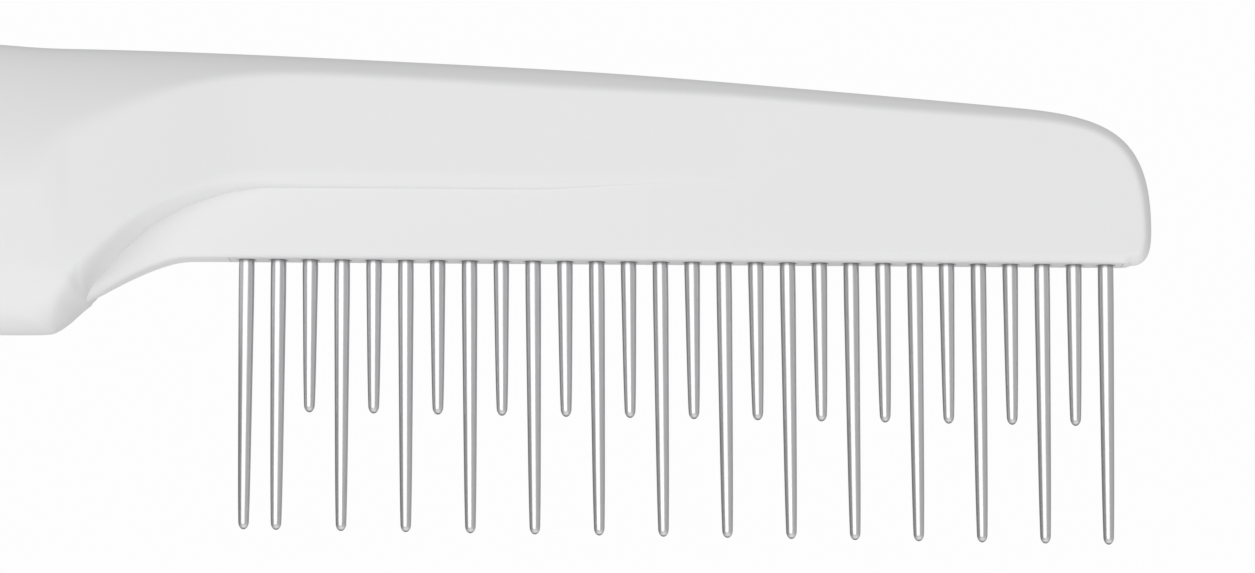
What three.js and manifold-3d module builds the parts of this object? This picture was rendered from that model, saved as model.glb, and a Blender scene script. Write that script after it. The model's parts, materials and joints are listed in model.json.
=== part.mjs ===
// Dematting comb: two hollow handle shells hold a slotted row of 28 free-turning steel teeth.
//
// Millimetres. +X runs along the comb from the handle to the nose, +Y is across its thickness and
// +Z is up, so the teeth point down. The origin is the middle of the tooth row, on the flat
// underside of the tooth carrier, between the fourteenth and the fifteenth tooth.

import * as THREE from 'three';
import { mergeVertices } from 'three/addons/utils/BufferGeometryUtils.js';
import Module from 'manifold-3d';

const wasm = await Module();
wasm.setup();

// ---- Driving dimensions -------------------------------------------------------------------------

const GAP = 0.3; // clearance between fixed pieces that meet

const TOOTH_COUNT = 28;
const TOOTH_PITCH = 3.5;
const TOOTH_SIDES = 10;
const TOOTH_RADIUS = 0.855;
const TOOTH_TIP_RADIUS = 0.6; // at the shoulder of the rounded tip
const TIP_LENGTH = 0.85;
const PARALLEL_LENGTH = 3.5; // the wire stays full size this far below the rail
const LONG_EXPOSED = 30.2; // mean length below the rail
const SHORT_EXPOSED = 17.25;
const SEAT_FALL = 1.05; // the teeth's seats come down by this much over the row, towards the nose
const LEAN_MIDDLE = 1.0; // degrees that the middle teeth lean towards the nose
const LEAN_FALLOFF = 0.73; // degrees less at both ends of the row
const HEAD_RADIUS = 1.3;
const HEAD_THICKNESS = 0.8;
const BORE_CLEARANCE = 0.095; // between a tooth and the flats of its bore

const CARRIER_HALF_LENGTH = 49.05;
const CARRIER_HALF_WIDTH = 1.7;
const CARRIER_HEIGHT = 7.3; // at mid-length
const KEEPER_THICKNESS = 1.2;

const BUTT = new THREE.Vector2(-172.7, 3.9); // end of the handle
const NOSE = new THREE.Vector2(52.3, 3.9); // end of the head
const RAIL_ROOT = new THREE.Vector2(-64.8, -5.55); // where the thin rail comes out of the guard
const RAIL_HALF_WIDTH = 2.85;
const RAIL_DRAFT = 0.06; // the rail widens by this much per mm of height
const RAIL_EDGE = 1.3; // edge radius along the underside
const COVE = 0.6; // how far the rail flares under the step
const STEP_END = 6.5; // the step along the rail fades out here
const FACE_BLEND = 0.5; // softness of the edges of the flat side faces
const SMOOTH_STEP = 0.5; // spacing of the points that stand for a smooth side line

const WALL = 1.8;
const ROOF = 2.4; // shell thickness above a pocket
const FLOOR = 3.2; // shell thickness below a pocket
const WEB_HALF = 3; // half thickness of a web between pockets
const WEB_X = [-139, -104, -72, -49, -20, 20];
const FIRST_POCKET = -155;
const LAST_POCKET = 47;
const PEG_RADIUS = 1.2;
const PEG_REACH = 2.5;
const HANG_HOLE = new THREE.Vector2(-162.5, 3.9);
const HANG_HOLE_RADIUS = 3.6;

// ---- Lines and laws in the side view --------------------------------------------------------------

/** A smooth law through knots [x, value], held level beyond both ends. It never overshoots a knot. */
function law(knots) {
  const slopes = knots.map((knot, i) => {
    if (i === 0 || i === knots.length - 1) return 0;
    const before = knot[0] - knots[i - 1][0];
    const after = knots[i + 1][0] - knot[0];
    const rise = (knot[1] - knots[i - 1][1]) / before;
    const climb = (knots[i + 1][1] - knot[1]) / after;
    if (rise * climb <= 0) return 0;
    return (3 * (before + after)) / ((2 * after + before) / rise + (after + 2 * before) / climb);
  });
  return (x) => {
    const last = knots.length - 1;
    if (x <= knots[0][0]) return knots[0][1];
    if (x >= knots[last][0]) return knots[last][1];
    const i = knots.findIndex((knot) => knot[0] > x) - 1;
    const span = knots[i + 1][0] - knots[i][0];
    const t = (x - knots[i][0]) / span;
    const ease = t * t * (3 - 2 * t);
    const pull = span * (slopes[i] * t * (1 - t) ** 2 - slopes[i + 1] * t * t * (1 - t));
    return knots[i][1] * (1 - ease) + knots[i + 1][1] * ease + pull;
  };
}

/** Points of a law from one x to another. */
function along(height, from, to) {
  const steps = Math.ceil((to - from) / SMOOTH_STEP);
  return Array.from({ length: steps + 1 }, (_, i) => {
    const x = from + ((to - from) * i) / steps;
    return new THREE.Vector2(x, height(x));
  });
}

/** Points of a cubic curve, given as its ends and handles [x, z]. */
function bend(...ends) {
  return new THREE.CubicBezierCurve(...ends.map(([x, z]) => new THREE.Vector2(x, z))).getPoints(24);
}

/** Height of a line, whose points run along +X, at one x. */
function heightAt(line, x) {
  const i = line.findIndex((point, k) => k > 0 && point.x >= x);
  if (i < 0) return line[line.length - 1].y;
  const [a, b] = [line[i - 1], line[i]];
  return b.x > a.x ? a.y + ((b.y - a.y) * (x - a.x)) / (b.x - a.x) : b.y;
}

/** Distance from a point of the side view to a line. */
function distance(line, x, z) {
  let nearest = Infinity;
  for (let i = 1; i < line.length; i += 1) {
    const [a, b] = [line[i - 1], line[i]];
    const [dx, dz] = [b.x - a.x, b.y - a.y];
    const reach = dx * dx + dz * dz;
    const t = reach > 0 ? THREE.MathUtils.clamp(((x - a.x) * dx + (z - a.y) * dz) / reach, 0, 1) : 0;
    nearest = Math.min(nearest, Math.hypot(x - a.x - t * dx, z - a.y - t * dz));
  }
  return nearest;
}

const BUTT_JOIN = -158;
const NOSE_JOIN = 38.4;
const RAIL_START = -51;
const NOSE_FOOT = 49.3;

const spineLaw = law([
  [BUTT_JOIN, 17.3], [-138, 19.9], [-118, 22.1], [-100, 23.5], [-86, 23.95], [-74.2, 23.76],
  [-52.4, 23.05], [-30.4, 22.18], [-8.4, 21.11], [13.6, 19.48], [NOSE_JOIN, 17.39],
]);
const spine = [
  ...bend([BUTT.x, BUTT.y], [BUTT.x, 11.4], [-166.5, 16.2], [BUTT_JOIN, 17.3]),
  ...along(spineLaw, BUTT_JOIN, NOSE_JOIN),
  ...bend([NOSE_JOIN, 17.39], [48.5, 16.43], [NOSE.x, 13.1], [NOSE.x, NOSE.y]),
];
const noseCorner = bend([NOSE.x, NOSE.y], [NOSE.x, 1.4], [51.6, 0], [NOSE_FOOT, 0]);
const crownEdge = [...spine, ...noseCorner];

const footLaw = law([
  [BUTT_JOIN, -9.3], [-146, -8.5], [-132, -6.4], [-118, -4.9], [-104, -5.2], [-92, -7.0],
  [-82, -8.4], [-74.2, -8.56], [-69.4, -8.45], [-67.9, -8.15], [-66.6, -7.2], [RAIL_ROOT.x, RAIL_ROOT.y],
  [-62.9, -3.85], [-60.3, -2.3], [-57, -0.85], [-54, -0.15], [RAIL_START, 0],
]);
const handleFoot = [
  ...bend([BUTT.x, BUTT.y], [BUTT.x, -3.6], [-166.5, -9.3], [BUTT_JOIN, -9.3]),
  ...along(footLaw, BUTT_JOIN, RAIL_ROOT.x),
];
const railFoot = [...along(footLaw, RAIL_ROOT.x, RAIL_START), new THREE.Vector2(NOSE_FOOT, 0)];
const foot = [...handleFoot, ...railFoot, ...noseCorner.toReversed()];

// The step: the handle's full body ends along this line and the thinner rail comes out below it.
const stepLaw = law([
  [RAIL_ROOT.x, RAIL_ROOT.y], [-63.2, -2.6], [-60.3, 0.75], [-57.6, 3.1], [-53.4, 5.45], [-48.6, 7.0],
  [-44.5, 7.5], [-30, 7.5], [-16.4, 7.5], [-5.8, 8.05], [STEP_END, 8.6], [28, 8.6], [44, 6.8], [NOSE.x, NOSE.y],
]);
const step = along(stepLaw, RAIL_ROOT.x, NOSE.x);
const bodyFoot = [...handleFoot, ...step];

// Half thickness laws along the comb.
const girth = law([
  [BUTT.x, 8.6], [BUTT_JOIN, 9.3], [-130, 10.5], [-104, 10.6], [-88, 10.2], [-74, 10], [-60, 10],
  [-41, 9.4], [-20, 8.7], [STEP_END, 7.8], [25, 7.3], [NOSE.x, 6.8],
]);
const crownDepth = law([[BUTT_JOIN, 13.2], [-118, 13.5], [-104, 14.2], [-88, 15.9], [-74, 16.1]]);
const flare = law([
  [-90, 16], [-70, 11.6], [-62, 9.6], [-54, 7.6], [-47, 5.95], [-41, 5.05], [-30, 4.7], [-15, 4.3],
  [-2, 3.7], [STEP_END, 3.37], [20, 3.37],
]);
const faceTilt = law([[-66, 0.083], [-54, 0.06], [-41, 0.03], [-20, 0], [STEP_END, -RAIL_DRAFT], [20, -RAIL_DRAFT]]);
const rimWidth = law([[-74, 16.1], [-69, 12], [-64, 3.8], [-55, 3.6], [-41, 2.5], [-20, 2.2], [STEP_END, 2.2]]);
const undersideHalf = law([[RAIL_ROOT.x, 0], [-61.5, 1.2], [-57, 1.55], [44, 1.55], [NOSE_FOOT, 0.2], [51, 0]]);
const cove = law([[RAIL_ROOT.x, COVE], [-30, COVE], [-12, 0.4], [STEP_END, 0], [20, 0]]);

/** A quarter round: 0 at the edge and 1 from t = 1 on. */
function quarterRound(t) {
  return Math.sqrt(1 - (1 - THREE.MathUtils.clamp(t, 0, 1)) ** 2);
}

/** The smaller of two values, with a soft change from one to the other. */
function softMin(a, b) {
  const overlap = Math.max(FACE_BLEND - Math.abs(a - b), 0) / FACE_BLEND;
  return Math.min(a, b) - (overlap * overlap * FACE_BLEND) / 4;
}

/** Half thickness of the crown, the oval that the spine, nose and handle share. */
function crownHalf(x, z) {
  return girth(x) * quarterRound(distance(crownEdge, x, z) / crownDepth(x));
}

/** Half thickness of the rail, below the step. */
function railHalf(x, z) {
  const face = RAIL_HALF_WIDTH + RAIL_DRAFT * z + cove(x) * (Math.max(z, 0) / 7.5) ** 2;
  const flat = undersideHalf(x);
  const full = softMin(face, crownHalf(x, z));
  return flat + (full - flat) * quarterRound(distance(railFoot, x, z) / RAIL_EDGE);
}

/** Half thickness of the handle and the upper head, above the step. */
function bodyHalf(x, z) {
  const face = flare(x) - faceTilt(x) * (z - stepLaw(x));
  const full = softMin(crownHalf(x, z), face);
  const base = x > RAIL_ROOT.x ? Math.min(railHalf(x, stepLaw(x)), full) : 0;
  return base + (full - base) * quarterRound(distance(bodyFoot, x, z) / rimWidth(x));
}

// ---- Solids -----------------------------------------------------------------------------------------

/** Turns a closed geometry into a solid that can be cut and joined. */
function solidOf(geometry) {
  const bare = geometry.index ? geometry.toNonIndexed() : geometry.clone();
  bare.deleteAttribute('normal');
  bare.deleteAttribute('uv');
  const merged = mergeVertices(bare, 1e-3);
  const corners = merged.index.array;
  const kept = [];
  for (let i = 0; i < corners.length; i += 3) {
    const [a, b, c] = [corners[i], corners[i + 1], corners[i + 2]];
    if (a !== b && b !== c && c !== a) kept.push(a, b, c);
  }
  return new wasm.Manifold(new wasm.Mesh({
    numProp: 3,
    vertProperties: new Float32Array(merged.getAttribute('position').array),
    triVerts: new Uint32Array(kept),
  }));
}

/** Turns a solid back into a geometry. */
function geometryOf(solid) {
  const mesh = solid.getMesh();
  const geometry = new THREE.BufferGeometry();
  geometry.setAttribute('position', new THREE.BufferAttribute(new Float32Array(mesh.vertProperties), 3));
  geometry.setIndex(new THREE.BufferAttribute(new Uint32Array(mesh.triVerts), 1));
  geometry.computeVertexNormals();
  return geometry;
}

/** A closed geometry from columns of points, outer faces towards -Y, closed by a flat face at backY. */
function relief(columns, backY) {
  const positions = [];
  const face = (...corners) => corners.forEach((corner) => positions.push(corner.x, corner.y, corner.z));
  const flattened = (point) => new THREE.Vector3(point.x, backY, point.z);
  const quad = (a, b, c, d) => {
    face(a, b, c);
    face(a, c, d);
  };
  const last = columns.length - 1;
  const top = columns[0].length - 1;
  for (let i = 0; i < last; i += 1) {
    for (let j = 0; j < top; j += 1) {
      const [a, b] = [columns[i][j], columns[i + 1][j]];
      const [c, d] = [columns[i + 1][j + 1], columns[i][j + 1]];
      quad(a, b, c, d);
      quad(flattened(d), flattened(c), flattened(b), flattened(a));
    }
    const [low, nextLow] = [columns[i][0], columns[i + 1][0]];
    const [high, nextHigh] = [columns[i][top], columns[i + 1][top]];
    quad(flattened(low), flattened(nextLow), nextLow, low);
    quad(high, nextHigh, flattened(nextHigh), flattened(high));
  }
  for (let j = 0; j < top; j += 1) {
    quad(columns[0][j], columns[0][j + 1], flattened(columns[0][j + 1]), flattened(columns[0][j]));
    quad(columns[last][j + 1], columns[last][j], flattened(columns[last][j]), flattened(columns[last][j + 1]));
  }
  const geometry = new THREE.BufferGeometry();
  geometry.setAttribute('position', new THREE.BufferAttribute(new Float32Array(positions), 3));
  return geometry;
}

/** A prism along Y from a side-view outline of [x, z] points, centred on the middle plane. */
function prismAcross(outline, halfWidth) {
  const shape = new THREE.Shape(outline.map(([x, z]) => new THREE.Vector2(x, z)));
  const geometry = new THREE.ExtrudeGeometry(shape, { depth: 2 * halfWidth, bevelEnabled: false });
  return geometry.rotateX(Math.PI / 2).translate(0, halfWidth, 0);
}

/** A round bar along Y, from one y to another. */
function barAcross(x, z, radius, from, to, sides) {
  const geometry = new THREE.CylinderGeometry(radius, radius, to - from, sides);
  return geometry.translate(x, (from + to) / 2, z);
}

/** A mirror copy of a closed geometry across the middle plane. */
function mirrored(geometry) {
  const copy = (geometry.index ? geometry.toNonIndexed() : geometry).clone().scale(1, -1, 1);
  const positions = copy.getAttribute('position');
  for (let i = 0; i < positions.count; i += 3) {
    const [second, third] = [new THREE.Vector3(), new THREE.Vector3()];
    second.fromBufferAttribute(positions, i + 1);
    third.fromBufferAttribute(positions, i + 2);
    positions.setXYZ(i + 1, third.x, third.y, third.z);
    positions.setXYZ(i + 2, second.x, second.y, second.z);
  }
  return copy;
}

// ---- Shells -------------------------------------------------------------------------------------------

const SPLIT = GAP / 2; // each shell stops this far from the middle plane
const RAIL_ROWS = [0, 0, 0.03, 0.09, 0.19, 0.55, 1]; // height fractions between underside and step
const BODY_ROW_COUNT = 11;
const POCKET_ROW_COUNT = 4;

/** Places from one x to another, with the spacing closing up towards the ends named. */
function places(from, to, count, closeStart = false, closeEnd = false) {
  return Array.from({ length: count + 1 }, (_, i) => {
    const t = i / count;
    let s = t;
    if (closeStart) s = 1 - Math.cos((t * Math.PI) / 2);
    if (closeEnd) s = Math.sin((t * Math.PI) / 2);
    return from + (to - from) * s;
  });
}

const STATIONS = [
  ...places(BUTT.x, BUTT_JOIN, 7, true).slice(0, -1),
  ...places(BUTT_JOIN, -74, 10).slice(0, -1),
  ...places(-74, RAIL_ROOT.x, 5).slice(0, -1),
  ...places(RAIL_ROOT.x, -44.5, 11).slice(0, -1),
  ...places(-44.5, NOSE_JOIN, 9).slice(0, -1),
  ...places(NOSE_JOIN, NOSE.x, 9, false, true),
];

/** A point on the front shell, given its half thickness beyond the split. */
function onFront(x, z, half) {
  return new THREE.Vector3(x, -SPLIT - half, z);
}

/** The outer form of the front shell: the handle and upper head joined to the rail below the step. */
function frontForm() {
  const bodyColumns = STATIONS.map((x) => {
    const low = x > RAIL_ROOT.x ? stepLaw(x) : heightAt(handleFoot, x);
    const high = heightAt(spine, x);
    return Array.from({ length: BODY_ROW_COUNT + 1 }, (_, j) => {
      const z = low + ((high - low) * (1 - Math.cos((Math.PI * j) / BODY_ROW_COUNT))) / 2;
      return onFront(x, z, j === BODY_ROW_COUNT ? 0 : bodyHalf(x, z));
    });
  });
  const railColumns = STATIONS.filter((x) => x >= RAIL_ROOT.x).map((x) => {
    const [low, high] = [heightAt(foot, x), stepLaw(x)];
    return RAIL_ROWS.map((share, j) => {
      const z = low + (high - low) * share;
      return onFront(x, z, j === 0 ? 0 : railHalf(x, z));
    });
  });
  return joinForms(bodyColumns, railColumns);
}

/** Joins the body and the rail, which share the step line, into one closed solid. */
function joinForms(bodyColumns, railColumns) {
  const rootIndex = STATIONS.indexOf(RAIL_ROOT.x);
  const columns = bodyColumns.map((column, i) => {
    const rail = i >= rootIndex
      ? railColumns[i - rootIndex].slice(0, -1)
      : RAIL_ROWS.slice(1).map(() => column[0]);
    return [...rail, ...column];
  });
  return solidOf(relief(columns, -SPLIT));
}

/** A pocket that hollows the front shell between two webs. */
function pocket(from, to) {
  const columns = places(from, to, 4).map((x) => {
    const low = heightAt(bodyFoot, x) + FLOOR;
    const high = heightAt(spine, x) - ROOF;
    return Array.from({ length: POCKET_ROW_COUNT + 1 }, (_, j) => {
      const z = low + ((high - low) * j) / POCKET_ROW_COUNT;
      return onFront(x, z, Math.max(bodyHalf(x, z) - WALL, 1));
    });
  });
  return solidOf(relief(columns, 1));
}

/** Height of the locating peg on the web at x. */
function pegHeight(x) {
  return (heightAt(bodyFoot, x) + FLOOR + heightAt(spine, x) - ROOF) / 2;
}

/** The long slot in the underside that takes the carrier and the keeper. */
function carrierSlot() {
  const end = CARRIER_HALF_LENGTH + GAP;
  const top = (x) => keeperTop(x) + GAP;
  return prismAcross([[-end, -1], [end, -1], [end, top(end)], [-end, top(-end)]], CARRIER_HALF_WIDTH + GAP);
}

/** The front shell before its pegs: hollow, slotted and holed. */
function hollowShell() {
  const edges = [FIRST_POCKET - WEB_HALF, ...WEB_X, LAST_POCKET + WEB_HALF];
  let shell = frontForm();
  for (let i = 1; i < edges.length; i += 1) {
    shell = shell.subtract(pocket(edges[i - 1] + WEB_HALF, edges[i] - WEB_HALF));
  }
  shell = shell.subtract(solidOf(carrierSlot()));
  return shell.subtract(solidOf(barAcross(HANG_HOLE.x, HANG_HOLE.y, HANG_HOLE_RADIUS, -20, 20, 20)));
}

function frontShellGeometry(shell) {
  return geometryOf(WEB_X.reduce((solid, x) => {
    const peg = barAcross(x, pegHeight(x), PEG_RADIUS, -1, PEG_REACH, 8);
    return solid.add(solidOf(peg));
  }, shell));
}

function rearShellGeometry(shell) {
  const rear = solidOf(mirrored(geometryOf(shell)));
  return geometryOf(WEB_X.reduce((solid, x) => {
    const socket = barAcross(x, pegHeight(x), PEG_RADIUS + GAP, -1, PEG_REACH + GAP, 8);
    return solid.subtract(solidOf(socket));
  }, rear));
}

// ---- Teeth and what holds them ---------------------------------------------------------------------------

const ROW_HALF = ((TOOTH_COUNT - 1) * TOOTH_PITCH) / 2;

/** Height of the carrier's top, which slopes down towards the nose. */
function carrierTop(x) {
  return CARRIER_HEIGHT - (SEAT_FALL * x) / (2 * ROW_HALF);
}

function keeperBottom(x) {
  return carrierTop(x) + GAP + HEAD_THICKNESS + GAP;
}

function keeperTop(x) {
  return keeperBottom(x) + KEEPER_THICKNESS;
}

/** Where tooth i stands along the rail. */
function toothX(i) {
  return i * TOOTH_PITCH - ROW_HALF;
}

/** Lean of tooth i towards the nose, in radians. */
function toothLean(i) {
  const fromMiddle = toothX(i) / ROW_HALF;
  return THREE.MathUtils.degToRad(LEAN_MIDDLE - LEAN_FALLOFF * fromMiddle ** 2);
}

/** The row starts with two long teeth and then alternates, short and long. */
function isLong(i) {
  return i === 0 || i % 2 === 1;
}

/** A headed pin, its axis on Z, with Z = 0 where it leaves the rail. */
function toothGeometry(i) {
  const seat = carrierTop(toothX(i)) + GAP;
  const exposed = (isLong(i) ? LONG_EXPOSED : SHORT_EXPOSED) - (seat - CARRIER_HEIGHT - GAP);
  const shoulder = exposed - TIP_LENGTH;
  const middle = (PARALLEL_LENGTH + shoulder) / 2;
  const profile = [
    [0, -exposed], [TOOTH_TIP_RADIUS * 0.75, -exposed + TIP_LENGTH * 0.3], [TOOTH_TIP_RADIUS, -shoulder],
    [0.76, -middle], [TOOTH_RADIUS, -PARALLEL_LENGTH],
    [TOOTH_RADIUS, seat], [HEAD_RADIUS, seat], [HEAD_RADIUS, seat + HEAD_THICKNESS], [0, seat + HEAD_THICKNESS],
  ];
  const lathe = new THREE.LatheGeometry(profile.map(([r, z]) => new THREE.Vector2(r, z)), TOOTH_SIDES);
  return geometryOf(solidOf(lathe.rotateX(Math.PI / 2)));
}

/** The bore of tooth i, clear of the tooth at every angle. */
function bore(i) {
  const radius = (TOOTH_RADIUS + BORE_CLEARANCE) / Math.cos(Math.PI / TOOTH_SIDES);
  const cutter = new THREE.CylinderGeometry(radius, radius, 3 * CARRIER_HEIGHT, TOOTH_SIDES);
  return cutter.rotateX(Math.PI / 2).rotateY(-toothLean(i)).translate(toothX(i), 0, 0);
}

/** The bar that the teeth turn in. Its lower face is the underside of the rail. */
function carrierGeometry() {
  const end = CARRIER_HALF_LENGTH;
  const outline = [[-end, 0], [end, 0], [end, carrierTop(end)], [-end, carrierTop(-end)]];
  let carrier = solidOf(prismAcross(outline, CARRIER_HALF_WIDTH));
  for (let i = 0; i < TOOTH_COUNT; i += 1) carrier = carrier.subtract(solidOf(bore(i)));
  return geometryOf(carrier);
}

/** The strip that lies over the heads and keeps them in their seats. */
function keeperGeometry() {
  const end = CARRIER_HALF_LENGTH;
  const outline = [
    [-end, keeperBottom(-end)], [end, keeperBottom(end)], [end, keeperTop(end)], [-end, keeperTop(-end)],
  ];
  return prismAcross(outline, CARRIER_HALF_WIDTH);
}

// ---- Assembly -----------------------------------------------------------------------------------------

const SHELL_PLASTIC = { color: 0xe3e3e4, roughness: 0.45, metalness: 0 };
const BAR_PLASTIC = { color: 0xd9d9da, roughness: 0.5, metalness: 0 };
const STEEL = { color: 0xb9babc, roughness: 0.22, metalness: 1 };

/** A named mesh with a material of its own. */
function piece(name, geometry, finish) {
  const mesh = new THREE.Mesh(geometry, new THREE.MeshStandardMaterial(finish));
  mesh.name = name;
  return mesh;
}

const comb = new THREE.Group();
const shell = hollowShell();
comb.add(piece('front_shell', frontShellGeometry(shell), SHELL_PLASTIC));
comb.add(piece('rear_shell', rearShellGeometry(shell), SHELL_PLASTIC));
comb.add(piece('tooth_carrier', carrierGeometry(), BAR_PLASTIC));
comb.add(piece('tooth_keeper', keeperGeometry(), BAR_PLASTIC));

const teeth = new THREE.Group();
for (let i = 0; i < TOOTH_COUNT; i += 1) {
  const tooth = piece(`tooth_${String(i + 1).padStart(2, '0')}`, toothGeometry(i), STEEL);
  tooth.position.x = toothX(i);
  tooth.rotation.y = -toothLean(i);
  teeth.add(tooth);
}
comb.add(teeth);

export default comb;
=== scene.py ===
"""Looks of a dematting comb: two moulded handle shells and a bar of steel teeth that turn.

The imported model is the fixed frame: it gives the middle of the tooth row, the place, lean and
length of every tooth and the size of the bar that holds them. Sizes here are in millimetres in
that same frame, with +X from the handle to the nose, +Y across the comb and +Z up, and become
metres when a mesh is made.
"""

import json
import logging
import math
from collections.abc import Sequence
from dataclasses import dataclass, field
from enum import Enum
from functools import cached_property

import bmesh
import bpy
import numpy as np
from mathutils import Euler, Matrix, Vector


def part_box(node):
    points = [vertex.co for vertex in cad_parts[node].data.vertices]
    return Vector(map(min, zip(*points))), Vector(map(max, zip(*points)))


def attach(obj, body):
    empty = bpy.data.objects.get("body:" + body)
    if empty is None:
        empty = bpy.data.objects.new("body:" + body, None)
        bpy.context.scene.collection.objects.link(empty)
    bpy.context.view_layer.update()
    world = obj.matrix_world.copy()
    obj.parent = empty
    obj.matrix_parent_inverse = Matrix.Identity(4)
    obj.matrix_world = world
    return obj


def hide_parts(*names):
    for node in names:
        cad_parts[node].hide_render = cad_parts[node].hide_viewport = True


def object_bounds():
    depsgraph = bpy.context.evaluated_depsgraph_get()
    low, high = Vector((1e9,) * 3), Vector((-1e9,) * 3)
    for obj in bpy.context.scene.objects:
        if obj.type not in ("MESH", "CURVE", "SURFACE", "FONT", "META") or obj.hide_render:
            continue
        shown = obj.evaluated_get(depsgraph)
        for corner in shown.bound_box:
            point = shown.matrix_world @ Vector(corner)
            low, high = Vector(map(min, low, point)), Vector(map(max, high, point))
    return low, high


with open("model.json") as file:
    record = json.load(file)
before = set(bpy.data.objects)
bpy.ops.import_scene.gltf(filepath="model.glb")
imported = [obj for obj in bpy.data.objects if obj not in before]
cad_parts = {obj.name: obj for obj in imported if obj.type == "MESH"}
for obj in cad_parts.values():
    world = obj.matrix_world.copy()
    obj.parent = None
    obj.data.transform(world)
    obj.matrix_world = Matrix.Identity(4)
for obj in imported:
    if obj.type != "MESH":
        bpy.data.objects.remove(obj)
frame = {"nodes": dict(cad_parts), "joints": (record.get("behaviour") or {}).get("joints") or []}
cad_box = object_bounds()

log = logging.getLogger("comb")

MM = 0.001
BODY = "comb_body"
Points = np.ndarray
Knots = tuple[tuple[float, float], ...]

# Millimetres that are past the end of anything on the comb, and too few to matter.
FAR = 400.0
TINY = 1e-6


# ---- Shared mesh helpers -------------------------------------------------------------------------


class Cut(Enum):
    """How a second solid changes the first."""

    TAKE_AWAY = "DIFFERENCE"
    ADD = "UNION"


def link(name: str, mesh: bpy.types.Mesh) -> bpy.types.Object:
    """Puts a mesh into the scene as an object at the origin.

    Args:
        name: The object's name.
        mesh: Its mesh.

    Returns:
        The new object.
    """
    piece = bpy.data.objects.new(name, mesh)
    bpy.context.scene.collection.objects.link(piece)
    return piece


def drop(*pieces: bpy.types.Object) -> None:
    """Removes helper objects and their meshes.

    Args:
        pieces: The objects to remove.
    """
    for piece in pieces:
        mesh = piece.data
        bpy.data.objects.remove(piece)
        bpy.data.meshes.remove(mesh)


def evaluated_mesh(piece: bpy.types.Object, name: str) -> bpy.types.Mesh:
    """The plain mesh that an object's modifiers make.

    Args:
        piece: The object with its live modifiers.
        name: The name of the new mesh.

    Returns:
        A mesh of its own, with no modifier behind it.
    """
    graph = bpy.context.evaluated_depsgraph_get()
    mesh = bpy.data.meshes.new_from_object(piece.evaluated_get(graph), depsgraph=graph)
    mesh.name = name
    return mesh


def combine(base: bpy.types.Mesh, tool: bpy.types.Mesh, cut: Cut) -> bpy.types.Mesh:
    """Joins two closed meshes, or cuts the second out of the first.

    Args:
        base: The mesh that is changed. It is used up.
        tool: The mesh that changes it. It is used up.
        cut: Whether the tool is taken away or added.

    Returns:
        The new closed mesh.
    """
    body, cutter = link("body", base), link("cutter", tool)
    modifier = body.modifiers.new("combine", "BOOLEAN")
    modifier.operation = cut.value
    modifier.solver = "MANIFOLD"
    modifier.object = cutter
    made = evaluated_mesh(body, base.name)
    drop(body, cutter)
    return made


def mesh_from(name: str, corners: Points, faces: Sequence[Sequence[int]]) -> bpy.types.Mesh:
    """A mesh in metres from corner points in millimetres.

    Args:
        name: The mesh's name.
        corners: The corner points.
        faces: The corners of each face, by number.

    Returns:
        The new mesh.
    """
    mesh = bpy.data.meshes.new(name)
    mesh.from_pydata((corners * MM).tolist(), [], [list(face) for face in faces])
    return mesh


def block(name: str, low: Sequence[float], high: Sequence[float]) -> bpy.types.Mesh:
    """A closed rectangular block.

    Args:
        name: The mesh's name.
        low: Its lowest corner, in millimetres.
        high: Its highest corner.

    Returns:
        The new mesh.
    """
    ends = (low, high)
    corners = [[ends[bit >> axis & 1][axis] for axis in range(3)] for bit in range(8)]
    faces = [(0, 2, 3, 1), (4, 5, 7, 6), (0, 1, 5, 4), (2, 6, 7, 3), (0, 4, 6, 2), (1, 3, 7, 5)]
    return mesh_from(name, np.array(corners, float), faces)


def relief(name: str, grid: Points, back: float) -> bpy.types.Mesh:
    """A closed solid between a grid of points that faces -Y and a flat back.

    Args:
        name: The mesh's name.
        grid: Points as an array of columns, rows and x, y, z, in millimetres.
        back: The y of the flat back.

    Returns:
        A mesh of triangles whose coincident corners are one.
    """
    columns, rows = grid.shape[:2]
    behind = grid.copy()
    behind[..., 1] = back
    corners = np.concatenate([grid.reshape(-1, 3), behind.reshape(-1, 3)])
    _, first, same = np.unique(np.round(corners, 5), axis=0, return_index=True, return_inverse=True)
    at = same.reshape(2, columns, rows)
    front, rear = at[0], at[1]

    def strips(a: Points, b: Points, c: Points, d: Points) -> Points:
        """Two triangles for each quad a, b, c, d."""
        halves = [np.stack([a, b, c], -1).reshape(-1, 3), np.stack([a, c, d], -1).reshape(-1, 3)]
        return np.concatenate(halves)

    triangles = np.concatenate([
        strips(front[:-1, :-1], front[1:, :-1], front[1:, 1:], front[:-1, 1:]),
        strips(rear[:-1, 1:], rear[1:, 1:], rear[1:, :-1], rear[:-1, :-1]),
        strips(rear[:-1, 0], rear[1:, 0], front[1:, 0], front[:-1, 0]),
        strips(front[:-1, -1], front[1:, -1], rear[1:, -1], rear[:-1, -1]),
        strips(front[0, :-1], front[0, 1:], rear[0, 1:], rear[0, :-1]),
        strips(front[-1, 1:], front[-1, :-1], rear[-1, :-1], rear[-1, 1:]),
    ])
    a, b, c = triangles.T
    triangles = triangles[(a != b) & (b != c) & (c != a)]
    return mesh_from(name, corners[first], triangles)


def mirrored(source: bpy.types.Mesh, name: str) -> bpy.types.Mesh:
    """A copy on the other side of the middle plane, its faces turned to point outwards again.

    Args:
        source: The mesh to copy.
        name: The copy's name.

    Returns:
        The copy.
    """
    copy = source.copy()
    copy.name = name
    for vertex in copy.vertices:
        vertex.co.y = -vertex.co.y
    copy.flip_normals()
    return copy


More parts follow.
